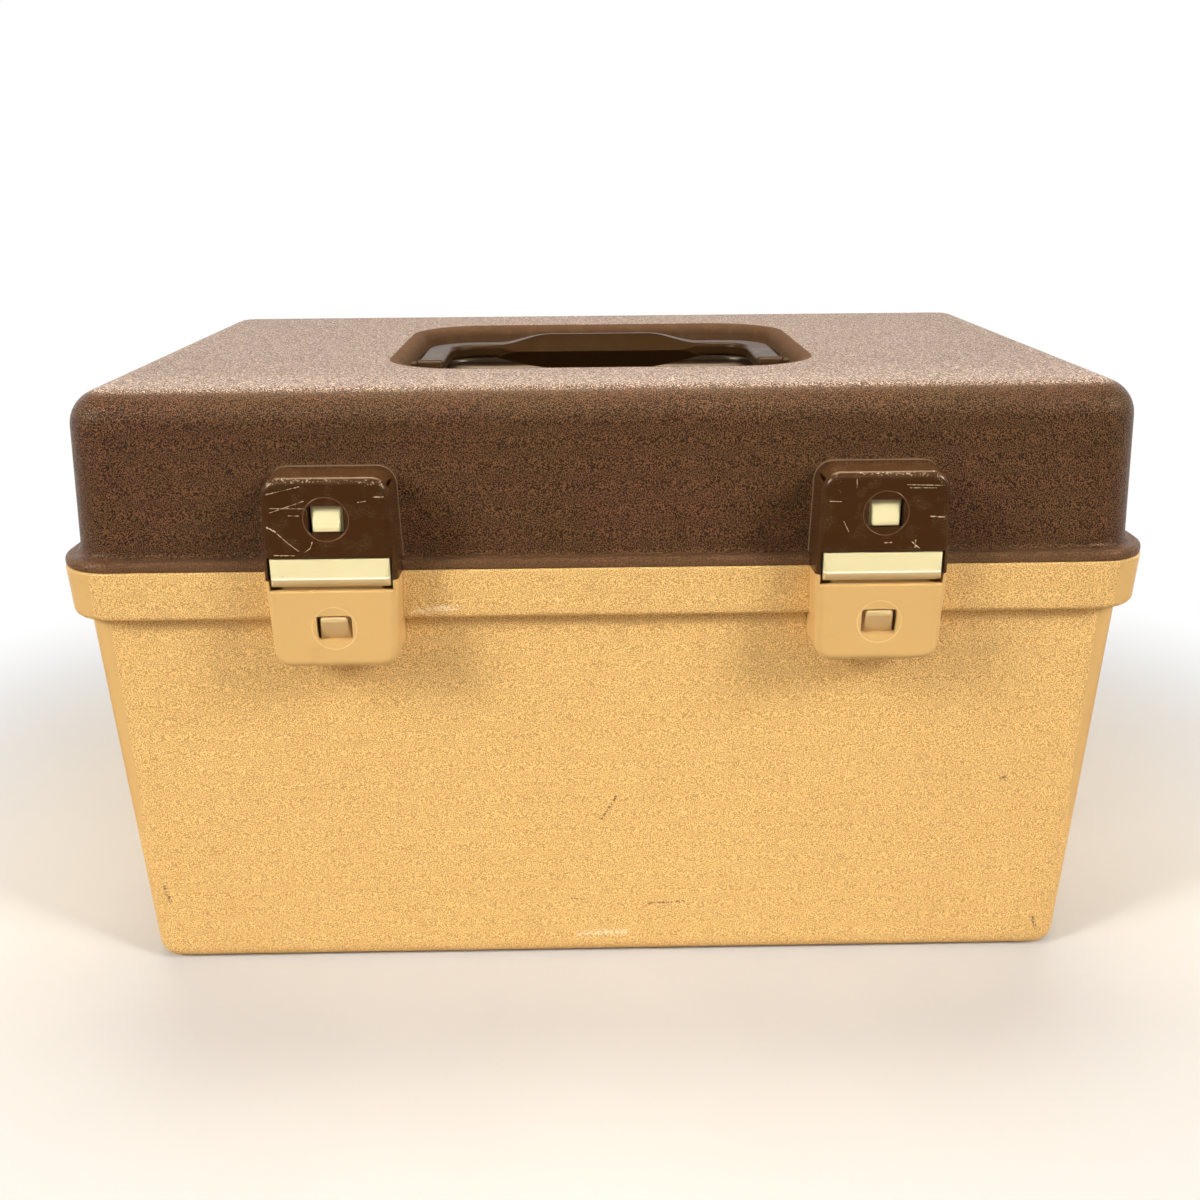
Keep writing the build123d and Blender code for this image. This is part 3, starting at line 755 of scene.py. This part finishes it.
lid_scuffs = on_housing(-1, [
    (-16.5, 29.6, -9.0, 29.6, 1.5),
    (-9.0, 29.6, 12.0, 28.8, 1.0),
    (12.0, 28.8, 16.0, 28.6, 1.4),
]) + on_housing(1, [
    (-15.0, 29.6, -13.0, 24.4, 1.3),
    (-8.0, 29.8, 12.0, 29.4, 1.0),
    (13.0, 30.0, 16.0, 27.0, 1.4),
])
print("lid:", len(lid_scratches), "scratches and", len(lid_scuffs), "scuffs")

# %% [markdown]
# Scratched plastic turns pale, and scuffs break up into crumbs. Fine hairlines cover all that is
# polished, but fewer show in the dark of the well. They are random, since nobody could tell one
# from another.

# %% Wear on the lid
hairline_brown = rgb(140, 114, 84)
worn_brown = rgb(206, 180, 146)
plate = 115.0
rolled_edge = plate - 0.7
scuff_strength = 0.55
hair_in_light = 0.6

scratched = strokes(tree, place, lid_scratches, plate)
scuffed = strokes(tree, place, lid_scuffs, rolled_edge)
crumbs = patches(tree, place, 0.55 * MM, 0.52, 0.60)
worn = highest(tree, scratched, product(tree, scuffed, crumbs, scuff_strength))
hair = product(tree, hairlines(tree, place, 1.7 * MM, stretch=9.0, start=0.50), polished)
hair_strength = number(tree, "MULTIPLY_ADD", deep, -hair_in_light, hair_in_light)
colour = coat(tree, colour, hairline_brown, product(tree, hair, hair_strength))
colour = coat(tree, colour, worn_brown, worn, strength=0.9)
plug(tree, colour, shader.inputs["Base Color"])
print("lid's colour is worn in")

# %% [markdown]
# Gloss drifts a little from place to place on any moulding, and worn places are duller. The
# grain stands a fifth of a millimetre proud, and the other heights are shares of that. Polished
# faces get only a slow ripple. The plastic reflects less than a bare polish would, and its
# highlights are warm.

# %% Gloss and relief of the lid
warm_highlight = (1.0, 0.78, 0.55, 1.0)
lip_roughness = 0.85
worn_roughness = 0.3
ripple_size = 14 * MM
lid_grain_depth = 0.20 * MM
ripple_height = 1.2
worn_height = 0.3
ring_height = 0.4

grain_gloss = drift(tree, place, 3 * MM, least=0.27, spread=0.16, detail=4)
polish_gloss = drift(tree, place, 5 * MM, least=0.16, spread=0.16, detail=5)
rough = product(tree, grain_gloss, grained)
rough = number(tree, "ADD", rough, product(tree, polish_gloss, polished))
rough = number(tree, "MULTIPLY_ADD", worn, worn_roughness, rough)
rough = highest(tree, rough, product(tree, well_lip, lip_roughness))
plug(tree, rough, shader.inputs["Roughness"])

ripple = product(tree, noise(tree, place, ripple_size, detail=1), ripple_height)
height = number(tree, "MULTIPLY_ADD", ridges, grained, product(tree, worn, worn_height))
height = number(tree, "ADD", height, product(tree, ripple, polished))
height = number(tree, "MULTIPLY_ADD", ring, ring_height, height)
relief(tree, height, lid_grain_depth, shader)
shader.inputs["Specular IOR Level"].default_value = 0.35
shader.inputs["Specular Tint"].default_value = warm_highlight
print("brown finish has", len(tree.nodes), "nodes")

# %% [markdown]
# ## Tan plastic: the base
#
# The base is grained and polished as the lid is, but it has a rim band that stands out from its
# wall, and no well. The same helpers find its places.

# %% Where the base is polished
base_half = (153.1 * MM, 94.1 * MM)
base_slope = math.tan(math.radians(3.2))
base_corner = 8.0 * MM
base_edge = 6.0 * MM
rim_foot = 126.2 * MM
rim_step = 4.0 * MM

tan, tree, shader = new_finish("tan_moulded_plastic")
place = object_place(tree)
x, y, z = parts(tree, place)
in_rim = number(tree, "GREATER_THAN", z, rim_foot + skin)
wall = wall_distance(tree, x, y, base_half, base_corner, z, base_slope)
wall = number(tree, "MULTIPLY_ADD", in_rim, -rim_step, wall)
shell = rounded_corner(tree, wall, product(tree, z, -1.0), base_edge)
inner = number(tree, "LESS_THAN", shell, -skin)
housings = housing_mask(tree, x, y, z)
polished = highest(tree, housings, inner)
grained = opposite(tree, polished)
print("finding the base's polished places took", len(tree.nodes), "nodes")

# %% [markdown]
# The base's plastic is a pale caramel, and it is a little deeper where it is polished. The grain's
# creases are painted darker, as painted shade, which shows much less on a pale surface, and faint
# grime clouds the whole. Both tans of a pair are close together, because a stronger clouding would
# look like stains.

# %% Colours of the base
crown_tans = (rgb(251, 207, 130), rgb(253, 211, 135))
crease_shade_tan = rgb(196, 146, 80)
polished_tans = (rgb(209, 167, 102), rgb(213, 171, 107))
ring_highlight_tan = rgb(242, 205, 144)
grime_brown = rgb(150, 104, 58)
lower_window = 127.1 * MM

ridges = grain(tree, place)
clouds = noise(tree, place, 40 * MM, detail=3)
leather = mix_colour(tree, clouds, *crown_tans)
# Painted shade: the creases are painted darker.
leather = coat(tree, leather, crease_shade_tan, opposite(tree, ridges))
sheen = mix_colour(tree, clouds, *polished_tans)
# Painted highlight: the ring about each lower window is painted pale.
ring = product(tree, window_ring(tree, x, z, lower_window), housings)
sheen = coat(tree, sheen, ring_highlight_tan, ring, strength=0.5)
colour = mix_colour(tree, polished, leather, sheen)
grime = patches(tree, place, 9 * MM, 0.58, 0.74, detail=5)
colour = coat(tree, colour, grime_brown, grime, strength=0.10)
print("base colours are mixed")

# %% [markdown]
# What catches the eye on the base is use: a dark diagonal rub in the middle, a brown smear below
# it, small dark marks at the sides and the lower corners, and pale scuffs at the foot and along
# the rim. They are strokes too, given from the middle of the box and its foot.

# %% Marks on the base
base_rubs = [
    (-2.2, 53.5, 2.7, 61.6, 0.9),
    (13.4, 20.4, 25.4, 21.2, 0.9),
    (127.2, 66.9, 128.2, 66.2, 1.5),
    (-147.0, 30.0, -145.5, 24.0, 1.2),
    (143.6, 12.5, 144.8, 8.8, 1.2),
    (-12.0, 23.0, -8.0, 22.6, 0.6),
]
base_scuffs = [
    (-9.6, 8.5, 5.7, 9.4, 2.2),
]
rim_scuffs = [
    (-57.4, 128.9, -45.4, 129.7, 2.0),
    (-66.0, 137.0, -62.0, 138.0, 0.5),
    (60.4, 128.4, 66.0, 129.0, 0.6),
]
print("base:", len(base_rubs), "rubs and", len(base_scuffs) + len(rim_scuffs), "scuffs")

# %% [markdown]
# A rub leaves dark dirt in the grain, and a scuff leaves it pale. The marks lie on the leaning
# wall of the base, or on the rim band before it, and noise breaks them up into crumbs.

# %% Wear on the base
hairline_tan = rgb(206, 158, 96)
rub_brown = rgb(118, 76, 44)
scuff_cream = rgb(255, 236, 198)
wall_foot = base_half[1] / MM
rim_face = wall_foot + rim_step / MM

crumbs = patches(tree, place, 0.6 * MM, 0.42, 0.52)
rubbed = product(tree, strokes(tree, place, base_rubs, wall_foot, base_slope), crumbs)
wall_scuffs = strokes(tree, place, base_scuffs, wall_foot, base_slope)
band_scuffs = strokes(tree, place, rim_scuffs, rim_face, base_slope)
scuffed = product(tree, highest(tree, wall_scuffs, band_scuffs), crumbs)
hair = product(tree, hairlines(tree, place, 2.6 * MM, stretch=7.0, start=0.56), housings)
colour = coat(tree, colour, hairline_tan, hair, strength=0.4)
colour = coat(tree, colour, rub_brown, rubbed, strength=0.9)
colour = coat(tree, colour, scuff_cream, scuffed, strength=0.65)
plug(tree, colour, shader.inputs["Base Color"])
print("base's colour is worn in")

# %% [markdown]
# The base is duller than the lid and its grain is worn lower. A rub or a scuff presses the
# grain down a little further. As on the lid, bump is enough for it, because no ridge stands a
# quarter of a millimetre proud and none shows on the outline.

# %% Gloss and relief of the base
base_grain_depth = 0.12 * MM
mark_height = -0.2
base_ring_height = 0.35

grain_gloss = drift(tree, place, 3 * MM, least=0.42, spread=0.12, detail=4)
polish_gloss = drift(tree, place, 5 * MM, least=0.26, spread=0.14, detail=5)
rough = product(tree, grain_gloss, grained)
rough = number(tree, "ADD", rough, product(tree, polish_gloss, polished))
plug(tree, rough, shader.inputs["Roughness"])

height = product(tree, ridges, grained)
height = number(tree, "MULTIPLY_ADD", highest(tree, rubbed, scuffed), mark_height, height)
height = number(tree, "MULTIPLY_ADD", ring, base_ring_height, height)
relief(tree, height, base_grain_depth, shader)
shader.inputs["Specular IOR Level"].default_value = 0.35
print("tan finish has", len(tree.nodes), "nodes")

# %% [markdown]
# ## Dark brown plastic: the handle
#
# The handle is smooth and glossy, because hands polish it. It still shows fine scratches along
# its length, dust in patches and a slight wave in the moulding, which breaks up reflections.

# %% Handle finish
handle_browns = (rgb(48, 30, 11), rgb(54, 34, 14))
handle_hairline = rgb(120, 92, 62)
handle_dust = rgb(150, 124, 96)
handle_wave_depth = 0.12 * MM
wear_roughness = 0.15
hair_height = -0.06

dark, tree, shader = new_finish("dark_handle_plastic")
place = object_place(tree)
hair = hairlines(tree, place, 1.8 * MM, stretch=10.0, start=0.5)
dust = patches(tree, place, 1.3 * MM, 0.60, 0.72, detail=6, roughness=0.7)
colour = mix_colour(tree, noise(tree, place, 18 * MM, detail=3), *handle_browns)
colour = coat(tree, colour, handle_hairline, hair, strength=0.2)
colour = coat(tree, colour, handle_dust, dust, strength=0.04)
plug(tree, colour, shader.inputs["Base Color"])
rough = drift(tree, place, 6 * MM, least=0.24, spread=0.20, detail=5)
rough = number(tree, "MULTIPLY_ADD", highest(tree, hair, dust), wear_roughness, rough)
plug(tree, rough, shader.inputs["Roughness"])
wave = noise(tree, place, 11 * MM, detail=1)
height = number(tree, "MULTIPLY_ADD", hair, hair_height, wave)
relief(tree, height, handle_wave_depth, shader)
shader.inputs["Specular IOR Level"].default_value = 0.15
shader.inputs["Specular Tint"].default_value = warm_highlight
print("handle finish has", len(tree.nodes), "nodes")

# %% [markdown]
# ## Ivory plastic: clips and tray
#
# The clips are a softer, milkier plastic. Light enters it a little way before it comes back,
# which subsurface scattering imitates, and tiny dark specks sit in it here and there. Each bar
# has a ridge along it with a painted highlight on its edge. Below the ridge the bar is painted
# tan, as painted shade and a painted reflection of the tan base it faces, and the lower barb's
# face is painted tan too, as painted shade. The tray is the same plastic with a drier, duller
# face.

# %% Ivory finishes
clip_ridge = 142.65 * MM
lower_barb_face = 129.1 * MM
clip_front = 112 * MM
painted_shade_below_ridge = rgb(196, 152, 94)
painted_barb_shade = rgb(190, 142, 84)
ridge_highlight_cream = rgb(255, 246, 230)
hairline_ivory = rgb(222, 204, 158)
speck_brown = rgb(120, 92, 60)
speck_spacing = 2.4 * MM
speck_radius = 0.06
speck_border = 0.015


def dark_specks(tree, place):
    """Small round dots, kept in a few patches. Their radius is a share of their spacing."""
    cells = tree.nodes.new("ShaderNodeTexVoronoi")
    plug(tree, place, cells.inputs["Vector"])
    cells.inputs["Scale"].default_value = 1 / speck_spacing
    dots = below(tree, cells.outputs["Distance"], speck_radius, speck_border)
    return product(tree, dots, patches(tree, place, 4 * MM, 0.52, 0.56, detail=1))


def ivory_finish(name, ivories, dullness, wave_depth):
    """Milky plastic with specks, fine scratches and a slight wave."""
    material, tree, shader = new_finish(name)
    place = object_place(tree)
    _, y, z = parts(tree, place)
    front = number(tree, "LESS_THAN", y, -clip_front)
    colour = mix_colour(tree, noise(tree, place, 12 * MM, detail=3), *ivories)
    # Painted shade and painted reflection: the bar is painted tan below its ridge.
    lower_part = product(tree, below(tree, z, clip_ridge - 0.3 * MM, 0.3 * MM), front)
    colour = coat(tree, colour, painted_shade_below_ridge, lower_part, strength=0.60)
    # Painted shade: the face of the lower barb is painted tan.
    lower_barb = product(tree, below(tree, z, lower_barb_face, 0.2 * MM), front)
    colour = coat(tree, colour, painted_barb_shade, lower_barb, strength=0.30)
    # Painted highlight: a pale line along the ridge.
    ridge_line = fade(tree, gap(tree, z, clip_ridge), 0.40 * MM, 0.15 * MM)
    colour = coat(tree, colour, ridge_highlight_cream, product(tree, ridge_line, front), strength=0.8)
    hair = hairlines(tree, place, 1.6 * MM, stretch=8.0, start=0.52)
    colour = coat(tree, colour, hairline_ivory, hair, strength=0.30)
    colour = coat(tree, colour, speck_brown, dark_specks(tree, place), strength=0.6)
    plug(tree, colour, shader.inputs["Base Color"])
    rough = drift(tree, place, 3 * MM, least=dullness, spread=0.16, detail=5)
    plug(tree, number(tree, "MULTIPLY_ADD", hair, 0.12, rough), shader.inputs["Roughness"])
    shader.inputs["Subsurface Weight"].default_value = 0.12
    shader.inputs["Subsurface Radius"].default_value = (1.0, 0.7, 0.4)
    shader.inputs["Subsurface Scale"].default_value = 1.5 * MM
    wave = noise(tree, place, 6 * MM, detail=1)
    relief(tree, number(tree, "MULTIPLY_ADD", hair, -0.1, wave), wave_depth, shader)
    print(name, "has", len(tree.nodes), "nodes")
    return material


clip_ivories = (rgb(228, 215, 166), rgb(220, 205, 152))
tray_ivories = (rgb(224, 209, 164), rgb(214, 198, 150))
clip_ivory = ivory_finish("clip_ivory_plastic", clip_ivories, 0.24, 0.06 * MM)
tray_ivory = ivory_finish("tray_ivory_plastic", tray_ivories, 0.38, 0.10 * MM)

# %% [markdown]
# ## Steel: the hinge pins
#
# The pins are drawn wire, so their marks run along them. Noise that is stretched along X gives
# long streaks, and a few brown freckles stand for the start of rust. Only the streaks are metal.

# %% Steel finish
steel_greys = (rgb(168, 168, 164), rgb(206, 205, 200))
rust = rgb(112, 74, 48)
streak_stretch = 0.06

steel, tree, shader = new_finish("drawn_steel_wire")
place = object_place(tree)
mapping = tree.nodes.new("ShaderNodeMapping")
mapping.inputs["Scale"].default_value = (streak_stretch, 1.0, 1.0)
plug(tree, place, mapping.inputs["Vector"])
streaks = noise(tree, mapping.outputs[0], 0.25 * MM, detail=3)
freckles = patches(tree, place, 1.2 * MM, 0.62, 0.70, detail=5)
colour = mix_colour(tree, streaks, *steel_greys)
colour = coat(tree, colour, rust, freckles, strength=0.7)
plug(tree, colour, shader.inputs["Base Color"])
plug(tree, opposite(tree, freckles), shader.inputs["Metallic"])
plug(tree, number(tree, "MULTIPLY_ADD", streaks, 0.25, 0.22), shader.inputs["Roughness"])
relief(tree, streaks, 0.01 * MM, shader)
print("steel finish has", len(tree.nodes), "nodes")

# %% [markdown]
# ## Dress the pieces
#
# Each piece of the solid model takes its finish in its own material slot. The pieces themselves
# stay as they are, because their shape and place come from the solid model.

# %% Assign the finishes
finishes = {
    "base_shell": tan,
    "lid_shell": brown,
    "handle": dark,
    "latch_clip_left": clip_ivory,
    "latch_clip_right": clip_ivory,
    "hinge_pin_left": steel,
    "hinge_pin_right": steel,
    "tray": tray_ivory,
}
for name, finish in finishes.items():
    for slot in nodes[name].material_slots:
        slot.material = finish
print("dressed", len(finishes), "of", len(nodes), "pieces")
